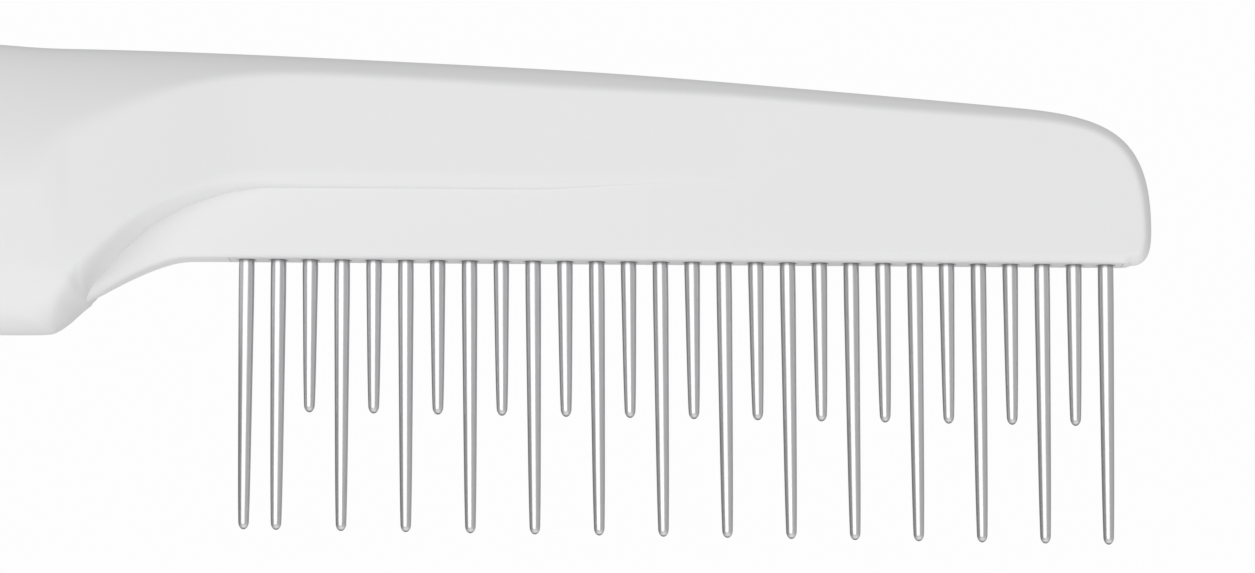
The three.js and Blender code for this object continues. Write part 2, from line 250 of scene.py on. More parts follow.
def shade(mesh: bpy.types.Mesh, sharp_over: float) -> None:
    """Shades a mesh smooth, with crisp edges where its faces meet at more than an angle.

    Args:
        mesh: The mesh to shade.
        sharp_over: The angle in degrees.
    """
    limit = math.radians(sharp_over)
    work = bmesh.new()
    work.from_mesh(mesh)
    for face in work.faces:
        face.smooth = True
    for edge in work.edges:
        edge.smooth = len(edge.link_faces) == 2 and edge.calc_face_angle(math.pi) < limit
    work.to_mesh(mesh)
    work.free()


def paint(piece: bpy.types.Object, material: bpy.types.Material) -> None:
    """Gives a whole piece one material."""
    piece.data.materials.clear()
    piece.data.materials.append(material)


# ---- Node helpers --------------------------------------------------------------------------------


def as_key(name: str) -> str:
    """A socket's name in lower case, with _ for spaces."""
    return name.lower().replace(" ", "_")


class Tree:
    """A node tree that is written as steps, each joined to the values that it needs."""

    def __init__(self, nodes: bpy.types.NodeTree) -> None:
        """Starts on an empty or given node tree."""
        self.tree = nodes

    def add(self, kind: str, settings: dict | None = None, **values: object) -> bpy.types.Node:
        """Adds one node.

        Args:
            kind: The node's type name.
            settings: Properties of the node itself.
            values: A value or an output for each input, by its name in lower case with _ for spaces,
                or i0, i1 and so on for inputs that share a name.

        Returns:
            The new node.
        """
        node = self.tree.nodes.new(kind)
        for name, value in (settings or {}).items():
            setattr(node, name, value)
        self.feed(node, **values)
        return node

    def feed(self, node: bpy.types.Node, **values: object) -> None:
        """Sets a node's inputs, or joins them to outputs.

        Args:
            node: The node.
            values: A value or an output for each input, named as for add.
        """
        for name, value in values.items():
            if name[0] == "i" and name[1:].isdigit():
                socket = node.inputs[int(name[1:])]
            else:
                socket = next(put for put in node.inputs if put.enabled and as_key(put.name) == name)
            if isinstance(value, bpy.types.NodeSocket):
                self.tree.links.new(value, socket)
            else:
                socket.default_value = value

    def math(self, operation: str, *values: object) -> bpy.types.NodeSocket:
        """One arithmetic step on numbers or outputs."""
        step = {f"i{k}": value for k, value in enumerate(values)}
        return self.add("ShaderNodeMath", {"operation": operation}, **step).outputs[0]

    def ease(
        self, value: bpy.types.NodeSocket, span: tuple[float, float], result: tuple[float, float]
    ) -> bpy.types.NodeSocket:
        """Changes smoothly from one result to another while a value crosses a span.

        Args:
            value: The value.
            span: Where the change starts and where it ends.
            result: What comes out at its start and at its end.

        Returns:
            The output that gives the result.
        """
        step = self.add(
            "ShaderNodeMapRange",
            {"interpolation_type": "SMOOTHSTEP"},
            value=value,
            from_min=span[0],
            from_max=span[1],
            to_min=result[0],
            to_max=result[1],
        )
        return step.outputs["Result"]

    def sockets(self, ins: dict[str, tuple[str, object]], outs: dict[str, str]) -> None:
        """Gives a group its named inputs and outputs.

        Args:
            ins: The kind and the starting value of each input, by its name.
            outs: The kind of each output, by its name.
        """
        for name, (kind, start) in ins.items():
            socket = self.tree.interface.new_socket(name, in_out="INPUT", socket_type=kind)
            if start is not None:
                socket.default_value = start
        for name, kind in outs.items():
            self.tree.interface.new_socket(name, in_out="OUTPUT", socket_type=kind)


def run_tree(base: bpy.types.Mesh, tree: bpy.types.NodeTree, name: str, **values: object) -> bpy.types.Mesh:
    """Runs a Geometry Nodes tree on a mesh and keeps the result as a plain mesh.

    Args:
        base: The mesh that the tree starts from. It is used up.
        tree: The tree, with named inputs.
        name: The name of the new mesh.
        values: A value for each named input, in lower case with _ for spaces.

    Returns:
        The mesh that the tree makes.
    """
    holder = link(name, base)
    modifier = holder.modifiers.new("nodes", "NODES")
    modifier.node_group = tree
    for item in tree.interface.items_tree:
        key = as_key(item.name)
        if item.in_out == "INPUT" and key in values:
            modifier[item.identifier] = values[key]
    made = evaluated_mesh(holder, name)
    holder.modifiers.remove(modifier)
    drop(holder)
    return made


# ---- Finishes ------------------------------------------------------------------------------------


def spark_grain() -> bpy.types.NodeTree:
    """The pebbled grain that a spark-eroded mould leaves.

    Returns:
        A group that puts out the grain's height and a mask of its hollows.
    """
    pit_scale, pit_share = 0.32, 0.5
    crest, bottom = 0.55, 0.9
    group = bpy.data.node_groups.new("spark_grain", "ShaderNodeTree")
    tree = Tree(group)
    tree.sockets(
        {"Vector": ("NodeSocketVector", None), "Size": ("NodeSocketFloat", 0.3)},
        {"Height": "NodeSocketFloat", "Hollows": "NodeSocketFloat"},
    )
    start = tree.add("NodeGroupInput")
    where = start.outputs["Vector"]
    scale = tree.math("DIVIDE", 1 / MM, start.outputs["Size"])
    fine = tree.add("ShaderNodeTexNoise", vector=where, scale=scale, detail=3.0, roughness=0.55)
    wide = tree.math("MULTIPLY", scale, pit_scale)
    pits = tree.add("ShaderNodeTexVoronoi", {"feature": "SMOOTH_F1"}, vector=where, scale=wide)
    height = tree.math("MULTIPLY_ADD", pits.outputs["Distance"], pit_share, fine.outputs["Fac"])
    hollows = tree.add(
        "ShaderNodeMapRange",
        value=height,
        from_min=crest,
        from_max=bottom,
        to_min=1.0,
        to_max=0.0,
    )
    tree.add("NodeGroupOutput", height=height, hollows=hollows.outputs["Result"])
    return group


def tone_drift() -> bpy.types.NodeTree:
    """A slow change of tone over a piece, as moulded or drawn stock has.

    Returns:
        A group that puts out a factor near 1.
    """
    group = bpy.data.node_groups.new("tone_drift", "ShaderNodeTree")
    tree = Tree(group)
    tree.sockets(
        {
            "Vector": ("NodeSocketVector", None),
            "Size": ("NodeSocketFloat", 20.0),
            "Amount": ("NodeSocketFloat", 0.02),
        },
        {"Factor": "NodeSocketFloat"},
    )
    start = tree.add("NodeGroupInput")
    scale = tree.math("DIVIDE", 1 / MM, start.outputs["Size"])
    cloud = tree.add("ShaderNodeTexNoise", vector=start.outputs["Vector"], scale=scale, detail=2.0)
    centred = tree.math("SUBTRACT", cloud.outputs["Fac"], 0.5)
    tree.add("NodeGroupOutput", factor=tree.math("MULTIPLY_ADD", centred, start.outputs["Amount"], 1.0))
    return group


@dataclass(frozen=True)
class Finish:
    """What every finish here shares: a named material with a tone that drifts slowly."""

    name: str
    tone: tuple[float, float, float]
    roughness: float
    drift_size: float
    drift_amount: float

    def start(self) -> tuple[bpy.types.Material, Tree, bpy.types.Node, bpy.types.NodeSocket]:
        """Makes the material with its drifting base colour.

        Returns:
            The material, its tree, its main shader and the output that gives the object's coordinates.
        """
        material = bpy.data.materials.new(self.name)
        material.use_nodes = True
        tree = Tree(material.node_tree)
        shader = material.node_tree.nodes["Principled BSDF"]
        where = tree.add("ShaderNodeTexCoord").outputs["Object"]
        drift = tree.add(
            "ShaderNodeGroup",
            {"node_tree": bpy.data.node_groups["tone_drift"]},
            vector=where,
            size=self.drift_size,
            amount=self.drift_amount,
        )
        toned = tree.add("ShaderNodeVectorMath", {"operation": "SCALE"}, i0=self.tone, scale=drift.outputs[0])
        tree.feed(shader, base_color=toned.outputs[0], roughness=self.roughness)
        return material, tree, shader, where


@dataclass(frozen=True)
class SatinPlastic(Finish):
    """Moulded plastic with a fine spark grain: soft sheen, hollows a touch rougher than the crests."""

    grain_size: float = 0.3
    grain_depth: float = 0.004
    grain_strength: float = 0.35
    hollow_roughness: float = 0.1

    def build(self) -> bpy.types.Material:
        """Makes the material.

        Returns:
            The material.
        """
        material, tree, shader, where = self.start()
        grain = tree.add(
            "ShaderNodeGroup",
            {"node_tree": bpy.data.node_groups["spark_grain"]},
            vector=where,
            size=self.grain_size,
        )
        roughness = tree.math("MULTIPLY_ADD", grain.outputs["Hollows"], self.hollow_roughness, self.roughness)
        bump = tree.add(
            "ShaderNodeBump",
            height=grain.outputs["Height"],
            strength=self.grain_strength,
            distance=self.grain_depth * MM,
        )
        tree.feed(shader, roughness=roughness, normal=bump.outputs["Normal"])
        return material


@dataclass(frozen=True)
class DrawnSteel(Finish):
    """Bright drawn wire: polished, with fine lines along its length, with painted shade just under the rail
    and a painted dark reflection under its tip.
    """

    line_width: float = 0.05
    line_length: float = 6.0
    line_contrast: float = 0.08
    line_depth: float = 0.0006
    line_strength: float = 0.5
    # Painted light: a band of painted shade under the rail, and a painted dark reflection where the tip faces
    # down.
    root_shade_height: float = 0.5
    root_shade_tone: float = 0.45
    tip_reflection_facing: tuple[float, float] = (-0.85, -0.45)
    tip_reflection_tone: float = 0.3

    def build(self) -> bpy.types.Material:
        """Makes the material.

        Returns:
            The material.
        """
        material, tree, shader, where = self.start()
        tree.feed(shader, metallic=1.0)
        across, lengthwise = 1 / (self.line_width * MM), 1 / (self.line_length * MM)
        stretched = tree.add("ShaderNodeMapping", vector=where, scale=(across, across, lengthwise))
        lines = tree.add("ShaderNodeTexNoise", vector=stretched.outputs[0], scale=1.0, detail=2.0)
        centred = tree.math("SUBTRACT", lines.outputs["Fac"], 0.5)
        roughness = tree.math("MULTIPLY_ADD", centred, self.line_contrast, self.roughness)
        bump = tree.add(
            "ShaderNodeBump",
            height=lines.outputs["Fac"],
            strength=self.line_strength,
            distance=self.line_depth * MM,
        )
        tree.feed(shader, roughness=roughness, normal=bump.outputs["Normal"])
        # Paint shade under the rail and a dark reflection under the tip into the base colour.
        self.paint_root_shade(tree, shader, where)
        self.paint_tip_dark_reflection(tree, shader)
        return material

    def paint_root_shade(self, tree: Tree, shader: bpy.types.Node, where: bpy.types.NodeSocket) -> None:
        """Paints shade into the wire's colour just below the rail, where the rail shades it.

        Args:
            tree: The material's tree.
            shader: Its main shader, whose base colour is already linked.
            where: The object's coordinates.
        """
        height = tree.add("ShaderNodeSeparateXYZ", vector=where).outputs["Z"]
        # Painted shade: the colour darkens over the last half millimetre up to the rail's underside.
        bright = tree.ease(height, (-self.root_shade_height * MM, 0.0), (1.0, self.root_shade_tone))
        self.paint_shade(tree, shader, bright)

    def paint_tip_dark_reflection(self, tree: Tree, shader: bpy.types.Node) -> None:
        """Paints a dark reflection into the colour where the steel faces down, which is the underside of the
        tip.

        Args:
            tree: The material's tree.
            shader: Its main shader, whose base colour is already linked.
        """
        facing = tree.add("ShaderNodeNewGeometry").outputs["Normal"]
        upward = tree.add("ShaderNodeSeparateXYZ", vector=facing).outputs["Z"]
        # Painted dark reflection: the colour darkens where the surface's normal points down.
        bright = tree.ease(upward, self.tip_reflection_facing, (self.tip_reflection_tone, 1.0))
        self.paint_shade(tree, shader, bright)

    def paint_shade(self, tree: Tree, shader: bpy.types.Node, share: bpy.types.NodeSocket) -> None:
        """Scales the shader's base colour down, which paints shade into it.

        Args:
            tree: The material's tree.
            shader: Its main shader, whose base colour is already linked.
            share: How much of the colour is left.
        """
        toned = shader.inputs["Base Color"].links[0].from_socket
        shaded = tree.add("ShaderNodeVectorMath", {"operation": "SCALE"}, i0=toned, scale=share)
        tree.feed(shader, base_color=shaded.outputs[0])


# ---- Lines and laws in the side view -------------------------------------------------------------


@dataclass(frozen=True)
class Law:
    """A smooth value along the comb, through knots (x, value), held level beyond both ends."""

    knots: Knots
    softness: float = 0.0
    step: float = 0.05

    @cached_property
    def table(self) -> tuple[Points, Points]:
        """The law at close steps: a curve that never overshoots a knot, then softened.

        Returns:
            The places, and the value at each.
        """
        at, value = np.array(self.knots, float).T
        span, rise = np.diff(at), np.diff(value) / np.diff(at)
        slope = np.zeros(len(at))
        for i in range(1, len(at) - 1):
            if rise[i - 1] * rise[i] > 0:
                before, after = 2 * span[i] + span[i - 1], span[i] + 2 * span[i - 1]
                slope[i] = (before + after) / (before / rise[i - 1] + after / rise[i])
        x = np.arange(at[0] - 4 * self.softness, at[-1] + 4 * self.softness + self.step, self.step)
        i = np.clip(np.searchsorted(at, x, side="right") - 1, 0, len(at) - 2)
        t = np.clip((x - at[i]) / span[i], 0, 1)
        ease = t * t * (3 - 2 * t)
        pull = span[i] * (slope[i] * t * (1 - t) ** 2 - slope[i + 1] * t * t * (1 - t))
        y = value[i] * (1 - ease) + value[i + 1] * ease + pull
        if self.softness:
            reach = round(3 * self.softness / self.step)
            weights = np.exp(-0.5 * (np.arange(-reach, reach + 1) * self.step / self.softness) ** 2)
            y = np.convolve(np.pad(y, reach, mode="edge"), weights / weights.sum(), mode="valid")
        return x, y

    def __call__(self, x: Points | float) -> Points | float:
        """The value at one or more places."""
        return np.interp(x, *self.table)

    def points(self, start: float, stop: float, spacing: float = 0.15) -> Points:
        """The law as a line of points (x, value) from one place to another."""
        x = np.linspace(start, stop, math.ceil(abs(stop - start) / spacing) + 1)
        return np.stack([x, self(x)], -1)


def bend(*ends: tuple[float, float], count: int = 140) -> Points:
    """Points of a cubic curve.

    Args:
        ends: Its first end, the two handles between, and its last end.
        count: How many points.

    Returns:
        The points (x, z).
    """
    t = np.linspace(0, 1, count)[:, None]
    a, b, c, d = (np.array(end, float) for end in ends)
    return a * (1 - t) ** 3 + 3 * b * t * (1 - t) ** 2 + 3 * c * t * t * (1 - t) + d * t**3


def distance(line: Points, x: Points, z: Points) -> Points:
    """Distance from points of one narrow column of the side view to a line.

    Args:
        line: Points (x, z) of the line.
        x: The places along the comb.
        z: The heights.

    Returns:
        The distances. Those over the reach that the shapes need may be too long.
    """
    reach = 19.0
    near = (line[:, 0] > x.min() - reach) & (line[:, 0] < x.max() + reach)
    index = np.flatnonzero(near[:-1] & near[1:])
    if not len(index):
        return np.full(x.shape, reach)
    start, run = line[index], line[index + 1] - line[index]
    dx, dz = x[:, None] - start[:, 0], z[:, None] - start[:, 1]
    length = np.maximum((run**2).sum(-1), 1e-12)
    t = np.clip((dx * run[:, 0] + dz * run[:, 1]) / length, 0, 1)
    return np.hypot(dx - t * run[:, 0], dz - t * run[:, 1]).min(-1)


def quarter_round(t: Points, bulge: Points | float = 2.0) -> Points:
    """A rounded edge: 0 at the edge and 1 from t = 1 on.

    Args:
        t: Distance from the edge, as a share of the rounding's width.
        bulge: 2 for a quarter of an ellipse, and less for a flatter, more bevelled edge.

    Returns:
        The height of the rounding, from 0 to 1.
    """
    return (1 - (1 - np.clip(t, 0, 1)) ** bulge) ** (1 / bulge)


def soft_min(a: Points, b: Points, softness: Points | float) -> Points:
    """The smaller of two values, with a soft change from one to the other."""
    overlap = np.maximum(softness - np.abs(a - b), 0) / softness
    return np.minimum(a, b) - overlap * overlap * softness / 4


def height_at(line: Points, x: float) -> float:
    """Height of a line, whose points run along +X, at one place."""
    return float(np.interp(x, line[:, 0], line[:, 1]))


@dataclass
class CombForm:
    """The comb's outer form: its side view, and how thick it is at every place of that view.

    Attributes:
        butt: The rearmost point, in the side view (x, z) as every point here.
        nose: The foremost point.
        rail_root: Where the handle's lower line meets the rail.
        butt_join: Where the butt's curves join the spine and the foot.
        nose_join: Where the nose's curve joins the spine.
        nose_foot: Where the nose's lower corner joins the underside.
        rail_start: Where the underside becomes straight.
        butt_pull: The x of the handles at the joined ends of the butt's two curves.
        butt_rise: Heights of the two handles of its upper curve.
        butt_fall: Heights of the two handles of its lower curve.
        nose_pull: The handle at the spine's end of the nose's curve.
        nose_rise: Height of that curve's other handle.
        corner_rise: Height of the upper handle of the nose's lower corner.
        corner_pull: The x of its lower handle.
        rail_half_width: Half thickness of the rail at its underside.
        rail_draft: How much its side leans out per millimetre of height.
        rail_edge: Radius of its lower edge.
        rail_height: Height of the step above the underside.
        face_blend: How softly a flat face runs into the crown.
        guard_corner: Where the grip's lower edge turns up the guard.
        corner_blend: How softly it turns.
        seam: Half the gap between the two shells.
        spine_law: Height of the top line.
        foot_law: Height of the lower line, handle and rail.
        step_law: Height of the step between the rail and the upper head.
        girth: Half thickness of the oval section.
        crown_depth: How far down from the spine the oval's rounding reaches.
        crown_bulge: The rounding's fullness, as in quarter_round.
        flare: Half thickness of the upper head's flat face, at the step.
        face_tilt: How much that face leans in per millimetre of height.
        rim_width: Width of the rounding along the body's lower edge.
        underside_half: Half width of the flat strip under the rail.
        cove: How far the rail's side hollows out towards the step.
    """

    butt: tuple[float, float]
    nose: tuple[float, float]
    rail_root: tuple[float, float] = (-64.8, -4.85)
    butt_join: float = -158.0
    nose_join: float = 38.4
    nose_foot: float = 50.0
    rail_start: float = -51.0
    butt_pull: float = -166.5
    butt_rise: tuple[float, float] = (11.4, 16.0)
    butt_fall: tuple[float, float] = (-3.6, -9.3)
    nose_pull: tuple[float, float] = (48.3, 16.4)
    nose_rise: float = 14.0
    corner_rise: float = 1.4
    corner_pull: float = 51.8
    rail_half_width: float = 2.85
    rail_draft: float = 0.06
    rail_edge: float = 1.1
    rail_height: float = 7.5
    face_blend: float = 0.5
    guard_corner: float = -68.2
    corner_blend: float = 0.6
    seam: float = 0.04
    spine_law: Law = Law((
        (-166, 15.9), (-158, 17.3), (-138, 19.9), (-118, 22.1), (-100, 23.5), (-86, 23.98), (-78, 23.92),
        (-74.2, 23.77), (-72.2, 23.6), (-69, 23.43), (-63.4, 23.34), (-57.9, 23.21), (-52.4, 23.05),
        (-30.4, 22.18), (-8.4, 21.11), (13.6, 19.48), (38.4, 17.39), (46, 16.67),
    ), softness=1.0)
    foot_law: Law = Law((
        (-166, -9.3), (-158, -9.3), (-146, -8.5), (-132, -6.4), (-118, -4.9), (-104, -5.2), (-92, -7.0),
        (-82, -8.35), (-74.2, -8.42), (-70, -8.35), (-68.4, -8.12), (-67.6, -7.5), (-66.9, -6.9),
        (-65.6, -5.55), (-64.8, -4.85), (-63.4, -4.1), (-62, -3.25), (-60.3, -2.3), (-59, -1.66),
        (-57.7, -1.08), (-56.3, -0.57), (-55, -0.2), (-53.6, -0.03), (-51, 0),
    ), softness=0.15)
    step_law: Law = Law((
        (-66.0, -7.0), (-64.8, -4.85), (-63.2, -2.4), (-60.3, 0.75), (-57.6, 3.1), (-53.4, 5.45), (-48.6, 7.0),
        (-44.5, 7.5), (-30, 7.5), (-16.4, 7.5), (-5.8, 8.05), (6.5, 8.6), (28, 8.6), (44, 6.8), (52.3, 3.9),
    ), softness=0.3)
    girth: Law = Law((
        (-172.7, 8.6), (-158, 9.3), (-130, 10.5), (-104, 10.6), (-88, 10.4), (-74, 10.2), (-60, 10),
        (-41, 9.4), (-20, 8.7), (6.5, 7.8), (25, 7.3), (52.3, 6.8),
    ), softness=3.0)
    crown_depth: Law = Law((
        (-158, 13.2), (-118, 14), (-104, 15.2), (-88, 17.2), (-74, 17.5), (-64, 14.5), (-57, 12), (-50, 10.3),
        (-41, 9.4), (-30, 8.8), (-19, 8.5), (0, 8.0), (24, 7.2), (52, 6.2),
    ), softness=2.0)
    crown_bulge: Law = Law((
        (-118, 2.0), (-90, 1.75), (-74, 1.6), (-50, 1.5), (20, 1.5), (52, 1.7),
    ), softness=3.0)
    flare: Law = Law((
        (-90, 16), (-70, 11.6), (-62, 9.6), (-54, 7.6), (-47, 6.0), (-41, 5.3), (-30, 5.05), (-15, 4.7),
        (-2, 3.9), (6.5, 3.37), (28, 3.37), (44, 3.26), (52.3, 3.08),
    ), softness=2.0)
    face_tilt: Law = Law((
        (-66, 0.083), (-54, 0.06), (-41, 0.03), (-20, 0), (6.5, -0.06), (20, -0.06),
    ), softness=2.0)
    rim_width: Law = Law((
        (-110, 14), (-90, 11), (-80, 8.5), (-74, 6.5), (-70, 4.5), (-66, 2.2), (-62, 1.4), (-57, 1.4),
        (-47, 1.8),
    ), softness=1.0)
    underside_half: Law = Law((
        (-64.8, 0), (-61.5, 1.2), (-57, 1.7), (-51, 1.95), (49.5, 1.95), (50.7, 0.9), (51.8, 0),
    ), softness=0.3)
    cove: Law = Law(((-64.8, 0.6), (-30, 0.6), (-12, 0.4), (6.5, 0), (20, 0)), softness=2.0)

    @cached_property
    def spine(self) -> Points:
        """The top line, from the butt to the nose.

        Returns:
            Its points (x, z).
        """
        rise = self.butt_rise
        butt_end = (self.butt_join, self.spine_law(self.butt_join))
        nose_start = (self.nose_join, self.spine_law(self.nose_join))
        butt = bend(self.butt, (self.butt[0], rise[0]), (self.butt_pull, rise[1]), butt_end)
        nose = bend(nose_start, self.nose_pull, (self.nose[0], self.nose_rise), self.nose)
        return np.concatenate([butt, self.spine_law.points(self.butt_join, self.nose_join), nose])

    @cached_property
    def nose_corner(self) -> Points:
        """The small corner from the nose down to the underside."""
        upper, lower = (self.nose[0], self.corner_rise), (self.corner_pull, 0)
        return bend(self.nose, upper, lower, (self.nose_foot, 0))

    @cached_property
    def handle_foot(self) -> Points:
        """The lower line of the handle, from the butt to the rail's root.

        Returns:
            Its points (x, z).
        """
        fall = self.butt_fall
        butt_end = (self.butt_join, self.foot_law(self.butt_join))
        butt = bend(self.butt, (self.butt[0], fall[0]), (self.butt_pull, fall[1]), butt_end)
        return np.concatenate([butt, self.foot_law.points(self.butt_join, self.rail_root[0])])

    @cached_property
    def rail_foot(self) -> Points:
        """The lower line of the rail, up to the nose corner.

        Returns:
            Its points (x, z).
        """
        root = self.foot_law.points(self.rail_root[0], self.rail_start)
        level = Law(((self.rail_start, 0), (self.nose_foot, 0)))
        return np.concatenate([root, level.points(self.rail_start, self.nose_foot)])

    @cached_property
    def foot(self) -> Points:
        """The whole lower line."""
        return np.concatenate([self.handle_foot, self.rail_foot, self.nose_corner[::-1]])

    @cached_property
    def crown_edge(self) -> Points:
        """The line that the crown's rounding starts from."""
        return np.concatenate([self.spine, self.nose_corner])

    @cached_property
    def body_foot(self) -> Points:
        """The line that the handle and the upper head round off to."""
        return np.concatenate([self.handle_foot, self.step_law.points(self.rail_root[0], self.nose[0])])

    @cached_property
    def grip_foot(self) -> Points:
        """The part of the body's foot that lies behind the guard's corner."""
        return self.body_foot[self.body_foot[:, 0] <= self.guard_corner]

    @cached_property
    def guard_foot(self) -> Points:
        """The part of the body's foot from the guard's corner on."""
        return self.body_foot[len(self.grip_foot) - 1:]

    def crown_half(self, x: Points, z: Points) -> Points:
        """Half thickness of the oval that the spine, nose and handle share."""
        inward = distance(self.crown_edge, x, z) / self.crown_depth(x)
        return self.girth(x) * quarter_round(inward, self.crown_bulge(x))

    def rail_half(self, x: Points, z: Points) -> Points:
        """Half thickness of the rail, below the step.

        Args:
            x: Places along the comb, in one narrow column.
            z: Heights.

        Returns:
            The half thickness at each.
        """
        hollow = self.cove(x) * (np.maximum(z, 0) / self.rail_height) ** 2
        face = self.rail_half_width + self.rail_draft * z + hollow
        full = soft_min(face, self.crown_half(x, z), self.face_blend)
        flat = np.minimum(self.underside_half(x), full)
        return flat + (full - flat) * quarter_round(distance(self.rail_foot, x, z) / self.rail_edge)

    def body_half(self, x: Points, z: Points) -> Points:
        """Half thickness of the handle and the upper head, above the step.

        Args:
            x: Places along the comb, in one narrow column.
            z: Heights.

        Returns:
            The half thickness at each.
        """
        face = self.flare(x) - self.face_tilt(x) * (z - self.step_law(x))
        full = soft_min(self.crown_half(x, z), face, self.face_blend)
        on_step = np.where(x > self.rail_root[0], self.rail_half(x, self.step_law(x)), 0.0)
        base = np.minimum(on_step, full)
        below, beside = distance(self.grip_foot, x, z), distance(self.guard_foot, x, z)
        inward = soft_min(below, beside, self.corner_blend * (below + beside) + TINY)
        return base + (full - base) * quarter_round(inward / self.rim_width(x))


# ---- Shells --------------------------------------------------------------------------------------


class Side(Enum):
    """The two halves of the handle."""

    FRONT = "front"
    REAR = "rear"


@dataclass
class HangHole:
    """The round hole through the handle's end, with a rolled rim."""

    centre: tuple[float, float]
    radius: float = 3.6
    rim: float = 1.1
    rings: int = 7
    rim_rings: int = 5
    blend_rings: int = 9
    spacing: float = 0.5
    tuck: float = 0.004

    def warp(self, x: Points, z: Points) -> tuple[Points, Points, Points]:
        """Bends the grid lines round the hole.

        Args:
            x: Places of the grid's points, columns by rows.
            z: Their heights.

        Returns:
            The new places and heights, and the ring that each point is on, counted from the hole's edge.
        """
        column = int(np.abs(x[:, 0] - self.centre[0]).argmin())
        row = int(np.abs(z[column] - self.centre[1]).argmin())
        across, up = np.indices(x.shape)
        ring = np.maximum(np.abs(across - column), np.abs(up - row)) - self.rings
        turn = np.arctan2(z - z[column, row], x - x[column, row])
        roll = np.clip(ring / self.rim_rings, 0, 1) * math.pi / 2
        inside = self.radius * np.clip((ring + self.rings) / (self.rings - 1), 0, 1) - self.tuck * (ring < 0)
        past_rim = np.maximum(ring - self.rim_rings, 0)
        outside = self.radius + self.rim * (1 - np.cos(roll)) + past_rim * self.spacing
        reach = np.where(ring < 0, inside, outside)
        t = np.clip((ring - self.rim_rings) / self.blend_rings, 0, 1)
        keep = t * t * (3 - 2 * t)
        new_x = keep * x + (1 - keep) * (self.centre[0] + reach * np.cos(turn))
        new_z = keep * z + (1 - keep) * (self.centre[1] + reach * np.sin(turn))
        return new_x, new_z, ring

    def roll_in(self, x: Points, z: Points, half: Points, ring: Points, beyond: float) -> Points:
        """Rolls the skin over the hole's rim and on through the middle plane.

        Args:
            x: Places after the warp.
            z: Heights after the warp.
            half: Half thickness of the plain skin.
            ring: The ring of each point.
            beyond: How far behind the middle plane the wall goes.

        Returns:
            The half thickness with the hole in it.
        """
        reach = np.hypot(x - self.centre[0], z - self.centre[1])
        out = np.clip((reach - self.radius) / self.rim, 0, 1)
        rolled = half - self.rim * (1 - quarter_round(out))
        return np.where(ring < 0, -beyond, np.where(reach < self.radius + self.rim, rolled, half))


